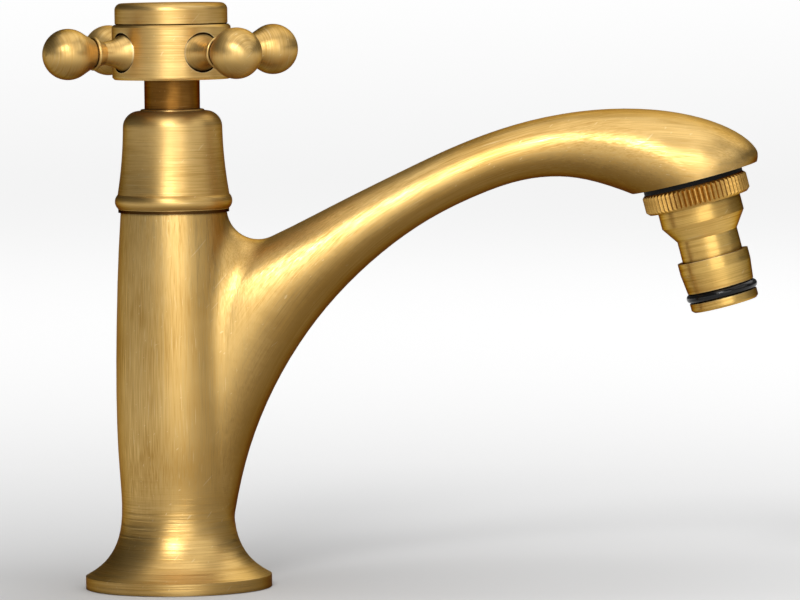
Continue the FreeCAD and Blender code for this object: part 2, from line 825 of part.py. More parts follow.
def fixed_disc():
    body = turned("fixed_disc", rectangle(0, seal_top, dim.disc_radius, fixed_disc_top))
    reach = dim.disc_radius + dim.disc_lug_length
    half = dim.disc_lug_width / 2
    lugs = outline(body, "lug_outline", "XY_Plane", rectangle(0 - reach, 0 - half, reach, half), seal_top)
    pad(body, "lugs", lugs, dim.fixed_disc_thickness)
    cut_ports(body, 0, seal_top, dim.fixed_disc_thickness)
    return turn_with_handle(body)


def moving_disc():
    body = turned("moving_disc", rectangle(0, fixed_disc_top, dim.disc_radius, moving_disc_top))
    half_length = dim.blade_length / 2 + dim.loose_clearance
    half_width = dim.blade_width / 2 + dim.loose_clearance
    slot = rectangle(0 - half_length, 0 - half_width, half_length, half_width)
    slot_floor = moving_disc_top - dim.blade_depth
    pocket(body, "drive_slot", outline(body, "drive_slot_outline", "XY_Plane", slot, slot_floor),
           dim.blade_depth, True)
    cut_ports(body, 90, fixed_disc_top, dim.moving_disc_thickness)
    return turn_with_handle(body)


def spindle():
    groove = dim.o_ring_groove_width / 2
    clip_bottom = gland_top
    spline_bottom = boss_bottom + dim.spline_start_gap
    profile = [
        (0, moving_disc_top),
        (dim.driver_radius, moving_disc_top),
        (dim.driver_radius, driver_top),
        (dim.shaft_radius, driver_top),
    ]
    for height in o_ring_heights.values():
        profile += [
            (dim.shaft_radius, height - groove),
            (o_ring_groove_radius, height - groove),
            (o_ring_groove_radius, height + groove),
            (dim.shaft_radius, height + groove),
        ]
    profile += [
        (dim.shaft_radius, clip_bottom),
        (dim.clip_groove_radius, clip_bottom),
        (dim.clip_groove_radius, clip_top),
        (dim.spline_root_radius, clip_top),
        (dim.spline_root_radius, spindle_top),
        (0, spindle_top),
    ]
    body = turned("spindle", profile)
    half_length = dim.blade_length / 2
    half_width = dim.blade_width / 2
    blade = rectangle(0 - half_length, 0 - half_width, half_length, half_width)
    blade_bottom = moving_disc_top - dim.blade_depth
    pad(body, "blade", outline(body, "blade_outline", "XY_Plane", blade, blade_bottom), dim.blade_depth)
    count = int(number(dim.spline_count))
    teeth = toothed_ring(count, dim.spline_root_radius, dim.spline_tip_radius)
    pad(body, "splines", outline(body, "spline_outline", "XY_Plane", teeth, spline_bottom),
        spindle_top - spline_bottom)
    bore(body, "tapped_hole", rectangle(
        0, spindle_top - dim.screw_engagement, dim.screw_radius + dim.thread_clearance, spindle_top))
    return turn_with_handle(body)


def spindle_clip():
    # An open retaining ring
    ring = rectangle(dim.clip_groove_radius, gland_top, dim.clip_radius, clip_top)
    return turned("spindle_clip", ring, angle=dim.clip_sweep.value)


def spindle_o_rings():
    rings = []
    for place_name, height in o_ring_heights.items():
        ring = o_ring(f"spindle_o_ring_{place_name}", o_ring_radius, dim.o_ring_section_radius)
        ring.setExpression("Placement.Base.z", formula(height))
        rings.append(ring)
    return rings


def bonnet():
    bead_bottom = dim.rim_height + dim.bonnet_bead_bottom
    bead_top = dim.rim_height + dim.bonnet_bead_top
    bead_bulge = dim.bonnet_bead_radius - (dim.bonnet_foot_radius + dim.bonnet_waist_radius) / 2
    crown = bonnet_top - dim.bonnet_lip_height
    crown_radius = dim.bonnet_shoulder_radius - dim.bonnet_shoulder_round
    lip_inner = dim.boss_radius + dim.loose_clearance
    lip_outer = lip_inner + dim.bonnet_lip_width
    thread_radius = dim.collar_radius + dim.thread_clearance
    thread_top = collar_top + dim.loose_clearance
    ceiling = bonnet_top - dim.bonnet_top_thickness
    return turned("bonnet", [
        (thread_radius, dim.rim_height),
        (dim.bonnet_foot_radius, dim.rim_height),
        (dim.bonnet_foot_radius, bead_bottom),
        (dim.bonnet_waist_radius, bead_top, -bead_bulge),
        (dim.bonnet_shoulder_radius, crown - dim.bonnet_shoulder_round, dim.bonnet_flank_hollow),
        (crown_radius, crown, -quarter_bulge(dim.bonnet_shoulder_round)),
        (lip_outer, crown),
        (lip_outer - dim.bonnet_lip_height, bonnet_top, -quarter_bulge(dim.bonnet_lip_height)),
        (lip_inner, bonnet_top),
        (lip_inner, ceiling),
        (dim.bonnet_cavity_radius, ceiling),
        (dim.bonnet_cavity_radius, thread_top),
        (thread_radius, thread_top),
    ])


def handle_hub():
    screw_hole = dim.screw_radius + dim.loose_clearance
    body = turned("handle_hub", [
        (0, boss_bottom),
        (dim.boss_radius, boss_bottom),
        (dim.boss_radius, hub_bottom),
        (dim.hub_radius - dim.hub_bottom_round, hub_bottom),
        (dim.hub_radius, hub_bottom + dim.hub_bottom_round),
        (dim.hub_radius, hub_top - dim.hub_top_chamfer),
        (dim.hub_radius - dim.hub_top_chamfer, hub_top),
        (dim.hub_recess_radius, hub_top),
        (dim.hub_recess_radius, recess_floor),
        (0, recess_floor),
    ])
    bore(body, "screw_hole", rectangle(0, spindle_top, screw_hole, recess_floor))
    count = int(number(dim.spline_count))
    root = dim.spline_root_radius + dim.running_clearance
    tip = dim.spline_tip_radius + dim.running_clearance
    broach = outline(body, "broach_outline", "XY_Plane", toothed_ring(count, root, tip), boss_bottom)
    pocket(body, "broach", broach, spindle_top - boss_bottom, True)
    spot_face = new_sketch(body, "spot_face_circle", "YZ_Plane")
    draw_circle(spot_face, dim.spoke_root_radius + dim.running_clearance)
    socket = new_sketch(body, "spoke_socket_circle", "YZ_Plane")
    draw_circle(socket, dim.spoke_tenon_radius + dim.thread_clearance)
    floor = dim.spoke_spot_face - dim.spoke_tenon_length - dim.loose_clearance
    for sketch, start in ((spot_face, dim.spoke_spot_face), (socket, floor)):
        sketch.AttachmentOffset = Placement(Vector(0, spoke_height.value, start.value), Rotation())
        sketch.setExpression("AttachmentOffset.Base.y", spoke_height.text)
        sketch.setExpression("AttachmentOffset.Base.z", start.text)
    face_cut = pocket(body, "spot_face", spot_face, dim.hub_radius, True)
    socket_cut = pocket(body, "spoke_socket", socket, dim.hub_radius, True)
    round_the_axis(body, "spoke_sockets", [face_cut, socket_cut], dim.spoke_count)
    return turn_with_handle(body)


def handle_spoke(index):
    count = int(number(dim.spoke_count))
    face = dim.spoke_spot_face
    half_bead = dim.spoke_bead_width / 2
    bead_bulge = dim.spoke_bead_radius - dim.spoke_cone_radius
    # The cone runs on to the ball at the point where it touches it
    cone_run = dim.spoke_ball_reach - dim.spoke_bead_reach - half_bead
    slant = length_of(cone_run, dim.spoke_cone_radius)
    lean = angle_of(dim.spoke_cone_radius, cone_run)
    touch = angle_of_cosine(dim.spoke_ball_radius / slant) + lean
    touch_reach = dim.spoke_ball_reach - dim.spoke_ball_radius * cosine(touch)
    touch_radius = dim.spoke_ball_radius * sine(touch)
    tip = dim.spoke_ball_reach + dim.spoke_ball_radius
    ball_bulge = dim.spoke_ball_radius * (1 - cosine((180 - touch) / 2))
    neck_bulge = (dim.spoke_root_radius - dim.spoke_neck_radius) / 4
    body = turned(f"handle_spoke_{index}", [
        (face - dim.spoke_tenon_length, 0),
        (face - dim.spoke_tenon_length, dim.spoke_tenon_radius),
        (face, dim.spoke_tenon_radius),
        (face, dim.spoke_root_radius),
        (dim.spoke_neck_reach, dim.spoke_neck_radius, -neck_bulge),
        (dim.spoke_bead_reach - half_bead, dim.spoke_cone_radius),
        (dim.spoke_bead_reach + half_bead, dim.spoke_cone_radius, bead_bulge),
        (touch_reach, touch_radius),
        (tip, 0, ball_bulge),
    ], axis="H_Axis")
    turn = dim.handle_angle + (index - 1) * 360 / count
    return place(body, 0, spoke_height, Vector(0, 0, 1), turn)


def handle_screw():
    head_top = recess_floor + dim.screw_head_height
    tip = spindle_top - dim.screw_engagement + dim.loose_clearance
    body = turned("handle_screw", [
        (0, tip),
        (dim.screw_radius, tip),
        (dim.screw_radius, recess_floor),
        (dim.screw_head_radius, recess_floor),
        (dim.screw_head_radius, head_top),
        (0, head_top),
    ])
    socket = outline(body, "screw_socket_hexagon", "XY_Plane", hexagon(dim.screw_socket_across_flats),
                     head_top - dim.screw_socket_depth)
    pocket(body, "screw_socket", socket, dim.screw_socket_depth, True)
    return turn_with_handle(body)


def index_cap():
    spigot = dim.hub_recess_radius - dim.running_clearance
    spigot_bore = spigot - dim.cap_spigot_wall
    return turned("index_cap", [
        (0, hub_top),
        (spigot_bore, hub_top),
        (spigot_bore, hub_top - dim.cap_spigot_depth),
        (spigot, hub_top - dim.cap_spigot_depth),
        (spigot, hub_top),
        (dim.cap_radius - dim.cap_seam_chamfer, hub_top),
        (dim.cap_radius, hub_top + dim.cap_seam_chamfer),
        (dim.cap_radius, cap_top - dim.cap_edge_round),
        (dim.cap_radius - dim.cap_edge_round, cap_top, -quarter_bulge(dim.cap_edge_round)),
        (0, cap_top),
    ])


def outlet_washer():
    inner = dim.socket_radius + dim.loose_clearance
    washer = flat_ring("outlet_washer", inner, dim.outlet_washer_radius, 0, dim.outlet_washer_thickness)
    return along_outlet(washer)


def hose_adapter():
    spigot = dim.socket_radius - dim.thread_clearance
    flange_top = dim.outlet_washer_thickness
    flange_bottom = flange_top + dim.knurl_height
    flange_edge = dim.knurl_radius - dim.knurl_edge_chamfer
    shoulder_end = dim.nipple_groove_end + dim.nipple_shoulder_length
    seal_end = dim.nipple_seal_start + dim.nipple_seal_width
    seal_floor = dim.nipple_taper_radius - dim.nipple_seal_depth
    body = turned("hose_adapter", [
        (dim.nipple_bore_radius, 0 - dim.spigot_length),
        (spigot, 0 - dim.spigot_length),
        (spigot, flange_top),
        (flange_edge, flange_top),
        (dim.knurl_radius, flange_top + dim.knurl_edge_chamfer),
        (dim.knurl_radius, flange_bottom - dim.knurl_edge_chamfer),
        (flange_edge, flange_bottom),
        (dim.nipple_collar_radius, flange_bottom),
        (dim.nipple_collar_radius, dim.nipple_collar_end),
        (dim.nipple_groove_radius, dim.nipple_groove_start),
        (dim.nipple_groove_radius, dim.nipple_groove_end),
        (dim.nipple_shoulder_radius, dim.nipple_groove_end),
        (dim.nipple_shoulder_radius, shoulder_end),
        (dim.nipple_taper_radius, dim.nipple_seal_start),
        (seal_floor, dim.nipple_seal_start),
        (seal_floor, seal_end),
        (dim.nipple_lip_radius, seal_end),
        (dim.nipple_lip_radius, dim.nipple_length - dim.nipple_lip_round),
        (dim.nipple_lip_radius - dim.nipple_lip_round, dim.nipple_length),
        (dim.nipple_bore_radius, dim.nipple_length),
    ])
    half_turn = 180 / dim.knurl_count * dim.knurl_notch_share
    notch = outline(body, "knurl_notch_outline", "XY_Plane", [
        (dim.knurl_radius - dim.knurl_depth, 0),
        (dim.knurl_radius * cosine(half_turn), 0 - dim.knurl_radius * sine(half_turn)),
        (dim.knurl_radius + dim.knurl_depth, 0),
        (dim.knurl_radius * cosine(half_turn), dim.knurl_radius * sine(half_turn)),
    ], flange_top)
    notch_cut = pocket(body, "knurl_notch", notch, dim.knurl_height, True)
    round_the_axis(body, "knurl", [notch_cut], dim.knurl_count)
    return along_outlet(body)


def adapter_o_ring():
    seal_floor = dim.nipple_taper_radius - dim.nipple_seal_depth
    section_radius = dim.nipple_seal_section_radius
    ring = o_ring("adapter_o_ring", seal_floor + section_radius, section_radius)
    return along_outlet(ring, dim.nipple_seal_start + dim.nipple_seal_width / 2)


pieces = [
    tap_body(),
    base_gasket(),
    headwork_body(),
    headwork_washer(),
    seat_seal(),
    fixed_disc(),
    moving_disc(),
    thrust_washer(),
    spindle(),
    *spindle_o_rings(),
    spindle_clip(),
    bonnet(),
    handle_hub(),
    *[handle_spoke(index) for index in range(1, int(number(dim.spoke_count)) + 1)],
    handle_screw(),
    index_cap(),
    outlet_washer(),
    hose_adapter(),
    adapter_o_ring(),
]
doc.recompute()

# Nothing is written unless every feature was rebuilt and every piece is one sound solid
for feature in doc.Objects:
    assert not {"Invalid", "Error"} & set(feature.State), f"{feature.Name} is not rebuilt"
for piece in pieces:
    assert not piece.Shape.isNull() and piece.Shape.isValid(), f"{piece.Label} is not a sound shape"
    assert len(piece.Shape.Solids) == 1, f"{piece.Label} is not one solid"

os.makedirs("parts", exist_ok=True)
for piece in pieces:
    piece.Shape.exportStep(f"parts/{piece.Label}.step")
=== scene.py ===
import json
import math
from typing import NamedTuple

import bmesh
import bpy
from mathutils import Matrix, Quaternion, Vector

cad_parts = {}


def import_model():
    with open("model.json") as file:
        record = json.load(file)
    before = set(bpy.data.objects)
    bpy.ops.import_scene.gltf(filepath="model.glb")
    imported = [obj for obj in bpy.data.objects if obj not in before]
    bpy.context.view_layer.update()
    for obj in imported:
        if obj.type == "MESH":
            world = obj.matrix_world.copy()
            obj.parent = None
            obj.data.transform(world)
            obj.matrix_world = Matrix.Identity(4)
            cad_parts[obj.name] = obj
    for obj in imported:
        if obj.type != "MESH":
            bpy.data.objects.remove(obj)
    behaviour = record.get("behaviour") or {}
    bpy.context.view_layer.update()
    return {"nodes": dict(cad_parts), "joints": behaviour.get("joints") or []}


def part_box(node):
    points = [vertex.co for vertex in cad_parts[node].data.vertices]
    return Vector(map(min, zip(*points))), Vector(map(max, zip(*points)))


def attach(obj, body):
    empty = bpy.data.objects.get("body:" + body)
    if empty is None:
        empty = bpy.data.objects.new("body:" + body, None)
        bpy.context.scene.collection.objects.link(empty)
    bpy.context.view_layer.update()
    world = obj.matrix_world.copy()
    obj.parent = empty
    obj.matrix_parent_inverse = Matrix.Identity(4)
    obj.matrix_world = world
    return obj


# Brushed antique brass, rubber and the hidden valve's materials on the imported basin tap, with a pale floor,
# soft lamps and the photograph's camera. Metres and degrees.

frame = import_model()

MILLIMETRE = 0.001
UP = Vector((0, 0, 1))
DOWN = -UP
LEVEL = Vector((0, 1, 0))
OUTWARD = Vector((1, 0, 0))
ORIGIN = Vector((0, 0, 0))
WHITE = (1, 1, 1, 1)

# The spout is brushed along its arch, which bends about a level axis through this point
ARCH_CENTRE = Vector((108.0, 0.0, 2.5)) * MILLIMETRE
ARCH_RADIUS = 96 * MILLIMETRE

# Turned pieces: typical radii, which set how long their marks are
COLUMN_RADIUS = 13 * MILLIMETRE
BALL_RADIUS = 6 * MILLIMETRE
NIPPLE_RADIUS = 8 * MILLIMETRE

# The cross handle at rest
HANDLE_ANGLE = 34.0
SPOKE_COUNT = 4

# The casting is turned up to this height, with a ragged border, and brushed upwards above it
TURNED_HEIGHT = 22 * MILLIMETRE
TURNED_BORDER = 14 * MILLIMETRE
BORDER_SCALE = 160.0

# The upward brushing gives way to the spout's between these distances out from the column's axis
COLUMN_REACH = 8 * MILLIMETRE
SPOUT_REACH = 26 * MILLIMETRE

# The hub's boss and the bonnet's seam are below these heights
HUB_BOTTOM = 118.3 * MILLIMETRE
BEAD_BOTTOM = 88.2 * MILLIMETRE

# Where the adapter turns, and how far along it its knurl ends
outlet = next(joint for joint in frame["joints"] if joint["name"] == "adapter_turn")
OUTLET_PLACE = Vector(outlet["pos_m"])
OUTLET_AXIS = Vector(outlet["axis"])
KNURL_END = 5.95 * MILLIMETRE

# The screw thread on the adapter's spigot, which shows when it is unscrewed
SPIGOT_RADIUS = 8.95 * MILLIMETRE
THREAD_START = -4.9 * MILLIMETRE
THREAD_PITCH = 1 * MILLIMETRE
THREAD_TURNS = 4.6
THREAD_RUN_OUT = 0.5
THREAD_STEPS = 64
THREAD_HEIGHT = 0.23 * MILLIMETRE
THREAD_FOOT = 0.4 * MILLIMETRE
THREAD_CREST = 0.08 * MILLIMETRE
THREAD_SUNK = 0.05 * MILLIMETRE
THREAD_ROOT_SUNK = 0.1 * MILLIMETRE


class Marks(NamedTuple):
    """Brush marks of one kind: their width and length, and how much finer noise they hold."""
    width: float
    length: float
    detail: float


HAIRLINES = Marks(0.24 * MILLIMETRE, 10 * MILLIMETRE, 2.0)
STROKES = Marks(0.9 * MILLIMETRE, 30 * MILLIMETRE, 3.0)
SCRATCHES = Marks(0.25 * MILLIMETRE, 9 * MILLIMETRE, 1.0)
STRAYS = Marks(0.45 * MILLIMETRE, 9 * MILLIMETRE, 0.0)
STRAY_AXIS = Vector((0.62, 0.35, 0.7)).normalized()

# How deep the marks are: hairlines, strokes, and the rings that a lathe left round the casting's foot
HAIRLINE_DEPTH = 0.02 * MILLIMETRE
STROKE_DEPTH = 0.04 * MILLIMETRE
RING_DEPTH = 0.16 * MILLIMETRE

# How much of the marks are strokes, and how much clouds add to where the metal is rubbed bright
STROKE_SHARE = 0.3
CLOUD_SHARE = 0.4
CLOUD_SCALE = 45.0
CLOUD_DETAIL = 3.0

# The spans over which rubbing, scratches and worn edges go from none to most, and that most
RUBBED_SPAN = (0.22, 0.72)
SCRATCH_SPAN = (0.66, 0.78)
SCRATCH_MOST = 0.4
STRAY_SPAN = (0.79, 0.84)
STRAY_MOST = 0.35
EDGE_SPAN = (0.8, 0.45)
EDGE_MOST = 0.5
PATCH_SPAN = (0.3, 0.6)

# Marks make the metal rougher or smoother by this much, and its highlights run a quarter turn from them
MARK_SPAN = (0.35, 0.65)
MARK_ROUGHNESS = 0.06
HIGHLIGHT_TURN = 0.25

# How far painted shade reaches out of corners and wear reaches in from edges
CORNER_SHADE = (0.08, 0.038, 0.01)
CORNER_SHADE_REACH = 1.4 * MILLIMETRE
CORNER_SHADE_SPAN = (0.9, 0.3)
WEAR_REACH = 0.5 * MILLIMETRE
OPENNESS_SAMPLES = 8

# Painted shade, a dark brown, lies on what faces down, and on the casting it also reaches up the column's
# side under the spout
FACING_SHADE = (0.17, 0.08, 0.01)
FACING_SHADE_SPAN = (-0.1, 0.55)
UNDER_SPOUT = Vector((0.35, 0.0, -0.94)).normalized()

# The border of the painted shade follows the marks, by how far they are from the middle of their noise
FACING_SHADE_RAGGED = 0.8
NOISE_MIDDLE = 0.5

# Rubber with a fine grain and some dust, and the mottle of pressed and moulded pieces
RUBBER_CLEAN = (0.006, 0.006, 0.006)
RUBBER_DUSTY = (0.016, 0.015, 0.014)
RUBBER_GRAIN_SCALE = 4000.0
RUBBER_GRAIN_DETAIL = 3.0
DUST_SCALE = 350.0
DUST_SPAN = (0.45, 0.8)
DUST_ROUGHER = 0.08
CLEAN_SMOOTHER = 0.05
MOTTLE_ROUGHNESS = 0.05
MOTTLE_DETAIL = 4.0
MOTTLE_SPAN = (0.3, 0.7)
GRAIN_DEPTH = 0.01 * MILLIMETRE


class Metal(NamedTuple):
    """Linear colours of a metal: rubbed bright, dull, worn on its edges, and seen aslant."""
    bright: tuple
    dull: tuple
    worn: tuple
    aslant: tuple


BRASS = Metal((0.83, 0.57, 0.22), (0.46, 0.25, 0.05), (0.93, 0.78, 0.46), (0.2, 0.09, 0.01))
YELLOW_BRASS = Metal((0.8, 0.53, 0.16), (0.36, 0.155, 0.018), (0.88, 0.72, 0.4), (0.12, 0.045, 0.006))
# The boss under the hub: coppery brass, painted dark for the shade that the hub casts on it
SHADED_COPPERY_BRASS = Metal((0.28, 0.13, 0.025), (0.15, 0.06, 0.01), (0.4, 0.22, 0.07), (0.14, 0.05, 0.008))
KNURL_BRASS = Metal((0.64, 0.39, 0.11), (0.36, 0.18, 0.033), (0.7, 0.46, 0.16), (0.12, 0.045, 0.006))
RAW_BRASS = Metal((0.7, 0.54, 0.27), (0.5, 0.35, 0.13), (0.82, 0.68, 0.4), (0.7, 0.55, 0.3))
STEEL = Metal((0.6, 0.6, 0.58), (0.42, 0.42, 0.41), (0.75, 0.75, 0.73), (0.7, 0.7, 0.7))

# The mix node's first input, second input and output for each type of data
MIX_SOCKETS = {"FLOAT": (2, 3, 0), "VECTOR": (4, 5, 1), "RGBA": (6, 7, 2)}


def opaque(colour):
    # A colour as a socket takes it: another socket, or three numbers with full opacity added
    return colour if isinstance(colour, bpy.types.NodeSocket) else (*colour, 1)


class Surface:
    """The node tree of one material."""

    def __init__(self, name):
        self.material = bpy.data.materials.new(name)
        self.material.use_nodes = True
        self.tree = self.material.node_tree
        self.shader = self.tree.nodes["Principled BSDF"]
        coordinates = self.add("ShaderNodeTexCoord")
        self.place = coordinates.outputs["Object"]
        self.facing = coordinates.outputs["Normal"]

    def add(self, kind, **settings):
        node = self.tree.nodes.new(kind)
        for setting, value in settings.items():
            setattr(node, setting, value)
        return node

    def feed(self, socket, value):
        if isinstance(value, bpy.types.NodeSocket):
            self.tree.links.new(value, socket)
        else:
            socket.default_value = value

    def set(self, name, value):
        self.feed(self.shader.inputs[name], value)

    def operate(self, kind, operation, values):
        node = self.add(kind, operation=operation)
        for socket, value in zip(node.inputs, values):
            self.feed(socket, value)
        return node

    def math(self, operation, *values):
        return self.operate("ShaderNodeMath", operation, values).outputs["Value"]

    def vector(self, operation, *values):
        node = self.operate("ShaderNodeVectorMath", operation, values)
        return node.outputs["Value" if operation in ("DOT_PRODUCT", "LENGTH") else "Vector"]

    def scaled(self, vector, factor):
        node = self.add("ShaderNodeVectorMath", operation="SCALE")
        self.feed(node.inputs["Vector"], vector)
        self.feed(node.inputs["Scale"], factor)
        return node.outputs["Vector"]

    def noise(self, vector, scale=1.0, detail=2.0, fourth=None):
        node = self.add("ShaderNodeTexNoise", noise_dimensions="3D" if fourth is None else "4D")
        self.feed(node.inputs["Vector"], vector)
        self.feed(node.inputs["Scale"], scale)
        self.feed(node.inputs["Detail"], detail)
        if fourth is not None:
            self.feed(node.inputs["W"], fourth)
        return node.outputs["Fac"]

    def spread(self, value, low, high, to_low=0.0, to_high=1.0):
        # A value's share of the way from low to high, eased and kept between to_low and to_high
        node = self.add("ShaderNodeMapRange", interpolation_type="SMOOTHSTEP")
        for name, number in zip(("From Min", "From Max", "To Min", "To Max"), (low, high, to_low, to_high)):
            self.feed(node.inputs[name], number)
        self.feed(node.inputs["Value"], value)
        return node.outputs["Result"]

    def mixed(self, kind, factor, first, second):
        first_input, second_input, output = MIX_SOCKETS[kind]
        node = self.add("ShaderNodeMix", data_type=kind)
        self.feed(node.inputs["Factor"], factor)
        self.feed(node.inputs[first_input], first)
        self.feed(node.inputs[second_input], second)
        return node.outputs[output]

    def mix(self, factor, first, second):
        # One colour into another
        return self.mixed("RGBA", factor, opaque(first), opaque(second))

    def blend(self, factor, first, second):
        # One number into another
        return self.mixed("FLOAT", factor, first, second)

    def openness(self, reach, inside=False):
        # 1 on open surfaces, falling towards 0 in corners, or on edges where it looks inside the solid
        node = self.add("ShaderNodeAmbientOcclusion", inside=inside, only_local=inside)
        node.samples = OPENNESS_SAMPLES
        self.feed(node.inputs["Distance"], reach)
        return node.outputs["AO"]

    def bump(self, height, depth, normal=None):
        node = self.add("ShaderNodeBump")
        self.feed(node.inputs["Height"], height)
        self.feed(node.inputs["Distance"], depth)
        if normal is not None:
            self.feed(node.inputs["Normal"], normal)
        return node.outputs["Normal"]


class Lathe:
    """Brush marks that run round an axis."""

    def __init__(self, surface, centre, axis, radius):
        self.surface = surface
        self.axis = axis
        self.typical_radius = radius
        offset = surface.vector("SUBTRACT", surface.place, centre)
        self.along = surface.vector("DOT_PRODUCT", offset, axis)
        outward = surface.vector("SUBTRACT", offset, surface.scaled(axis, self.along))
        self.radius = surface.vector("LENGTH", outward)
        self.outward = surface.vector("NORMALIZE", outward)
        self.direction = surface.vector("CROSS_PRODUCT", axis, self.outward)

    def draw(self, marks):
        surface = self.surface
        across = surface.scaled(self.axis, surface.math("DIVIDE", self.along, marks.width))
        around = surface.scaled(self.outward, self.typical_radius / marks.length)
        depth = surface.math("DIVIDE", self.radius, marks.width)
        return surface.noise(surface.vector("ADD", across, around), detail=marks.detail, fourth=depth)


class Straight:
    """Brush marks that run along an axis."""

    def __init__(self, surface, axis):
        self.surface = surface
        self.direction = axis
        self.along = surface.scaled(axis, surface.vector("DOT_PRODUCT", surface.place, axis))
        self.across = surface.vector("SUBTRACT", surface.place, self.along)

    def draw(self, marks):
        surface = self.surface
        across = surface.scaled(self.across, 1 / marks.width)
        along = surface.scaled(self.along, 1 / marks.length)
        return surface.noise(surface.vector("ADD", across, along), detail=marks.detail)


class TwoWays:
    """Brush marks that give way to others."""

    def __init__(self, surface, share, first, second):
        self.surface = surface
        self.share = share
        self.first = first
        self.second = second
        self.direction = surface.mixed("VECTOR", share, first.direction, second.direction)

    def draw(self, marks):
        return self.surface.blend(self.share, self.first.draw(marks), self.second.draw(marks))


def wear(surface, brush, cloud):
    # How much the metal shows bright along scratches and, in patches, on its edges
    along = surface.spread(brush.draw(SCRATCHES), *SCRATCH_SPAN, to_high=SCRATCH_MOST)
    strays = Straight(surface, STRAY_AXIS).draw(STRAYS)
    astray = surface.spread(strays, *STRAY_SPAN, to_high=STRAY_MOST)
    edge = surface.spread(surface.openness(WEAR_REACH, inside=True), *EDGE_SPAN, to_high=EDGE_MOST)
    patches = surface.math("MULTIPLY", edge, surface.spread(cloud, *PATCH_SPAN))
    return surface.math("MAXIMUM", surface.math("MAXIMUM", along, astray), patches)


def facing_shade_share(surface, marks, side, most):
    # How much painted shade lies on what faces a side, with a border that follows the marks
    towards = surface.vector("DOT_PRODUCT", surface.facing, side)
    ragged = surface.math("MULTIPLY", surface.math("SUBTRACT", marks, NOISE_MIDDLE), FACING_SHADE_RAGGED)
    return surface.spread(surface.math("ADD", towards, ragged), *FACING_SHADE_SPAN, to_high=most)


def brushed(surface, brush, metal, roughness, anisotropy=0.45, facing_shade=0.0, shade_side=DOWN,
            depth=STROKE_DEPTH, shade_in_corners=1.0, seam_shade=0.0):
    # Metal with long marks, bright worn edges, a share of painted shade on one side, and painted shade in
    # corners and along a seam
    hairlines = brush.draw(HAIRLINES)
    strokes = brush.draw(STROKES)
    marks = surface.blend(STROKE_SHARE, hairlines, strokes)
    cloud = surface.noise(surface.place, CLOUD_SCALE, CLOUD_DETAIL)
    rubbed = surface.spread(surface.blend(CLOUD_SHARE, marks, cloud), *RUBBED_SPAN)
    colour = surface.mix(rubbed, metal.dull, metal.bright)
    colour = surface.mix(wear(surface, brush, cloud), colour, metal.worn)
    if facing_shade:
        # Painted shade: what faces the given side is darkened to a dark brown
        colour = surface.mix(facing_shade_share(surface, marks, shade_side, facing_shade), colour, FACING_SHADE)
    # Painted shade: corners found by ambient occlusion are darkened towards a dark brown
    corner = surface.spread(surface.openness(CORNER_SHADE_REACH), *CORNER_SHADE_SPAN, to_high=shade_in_corners)
    colour = surface.mix(surface.math("MAXIMUM", corner, seam_shade), colour, CORNER_SHADE)
    surface.set("Base Color", colour)
    surface.set("Metallic", 1.0)
    rough = surface.spread(marks, *MARK_SPAN, roughness + MARK_ROUGHNESS, roughness - MARK_ROUGHNESS)
    surface.set("Roughness", rough)
    surface.set("Anisotropic", anisotropy)
    surface.set("Anisotropic Rotation", HIGHLIGHT_TURN)
    surface.set("Tangent", brush.direction)
    surface.set("Specular Tint", opaque(metal.aslant))
    broad = surface.bump(strokes, depth)
    surface.set("Normal", surface.bump(hairlines, HAIRLINE_DEPTH, broad))


def casting_brass():
    surface = Surface("casting_brass")
    arch = Lathe(surface, ARCH_CENTRE, LEVEL, ARCH_RADIUS)
    outward = surface.vector("DOT_PRODUCT", surface.place, OUTWARD)
    on_spout = surface.spread(outward, COLUMN_REACH, SPOUT_REACH)
    upper = TwoWays(surface, on_spout, Straight(surface, UP), arch)
    foot = Lathe(surface, ORIGIN, UP, COLUMN_RADIUS)
    ragged = surface.math("MULTIPLY", surface.noise(surface.place, BORDER_SCALE), TURNED_BORDER)
    height = surface.math("ADD", foot.along, ragged)
    turned = surface.spread(height, TURNED_HEIGHT + TURNED_BORDER, TURNED_HEIGHT)
    brush = TwoWays(surface, turned, upper, foot)
    depth = surface.blend(turned, STROKE_DEPTH, RING_DEPTH)
    # Painted shade darkens what faces down and towards the spout
    brushed(surface, brush, BRASS, roughness=0.42, anisotropy=0.15, facing_shade=0.8, shade_side=UNDER_SPOUT,
            depth=depth)
    return surface.material


def spoke_brass(name, centre, axis):
    surface = Surface(name)
    # Painted shade darkens the spoke's underside
    brushed(surface, Lathe(surface, centre, axis, BALL_RADIUS), BRASS, roughness=0.43, facing_shade=0.6)
    return surface.material


def bonnet_brass():
    surface = Surface("bonnet_brass")
    brush = Lathe(surface, ORIGIN, UP, COLUMN_RADIUS)
    # Painted shade: the bonnet's foot below the bead, at the seam with the column, is darkened like the
    # corners
    seam_shade = surface.math("LESS_THAN", brush.along, BEAD_BOTTOM)
    # Painted shade also darkens what faces down
    brushed(surface, brush, BRASS, roughness=0.45, facing_shade=0.6, seam_shade=seam_shade)
    return surface.material


def two_metals(surface, share, first, second):
    # The colours of one metal that give way to those of another, seen aslant as the second
    bright = surface.mix(share, first.bright, second.bright)
    dull = surface.mix(share, first.dull, second.dull)
    worn = surface.mix(share, first.worn, second.worn)
    return Metal(bright, dull, worn, second.aslant)


def hub_brass():
    surface = Surface("hub_brass")
    brush = Lathe(surface, ORIGIN, UP, COLUMN_RADIUS)
    on_hub = surface.math("GREATER_THAN", brush.along, HUB_BOTTOM)
    # Below the hub the boss takes coppery colours with painted shade
    brushed(surface, brush, two_metals(surface, on_hub, SHADED_COPPERY_BRASS, BRASS), roughness=0.43)
    return surface.material


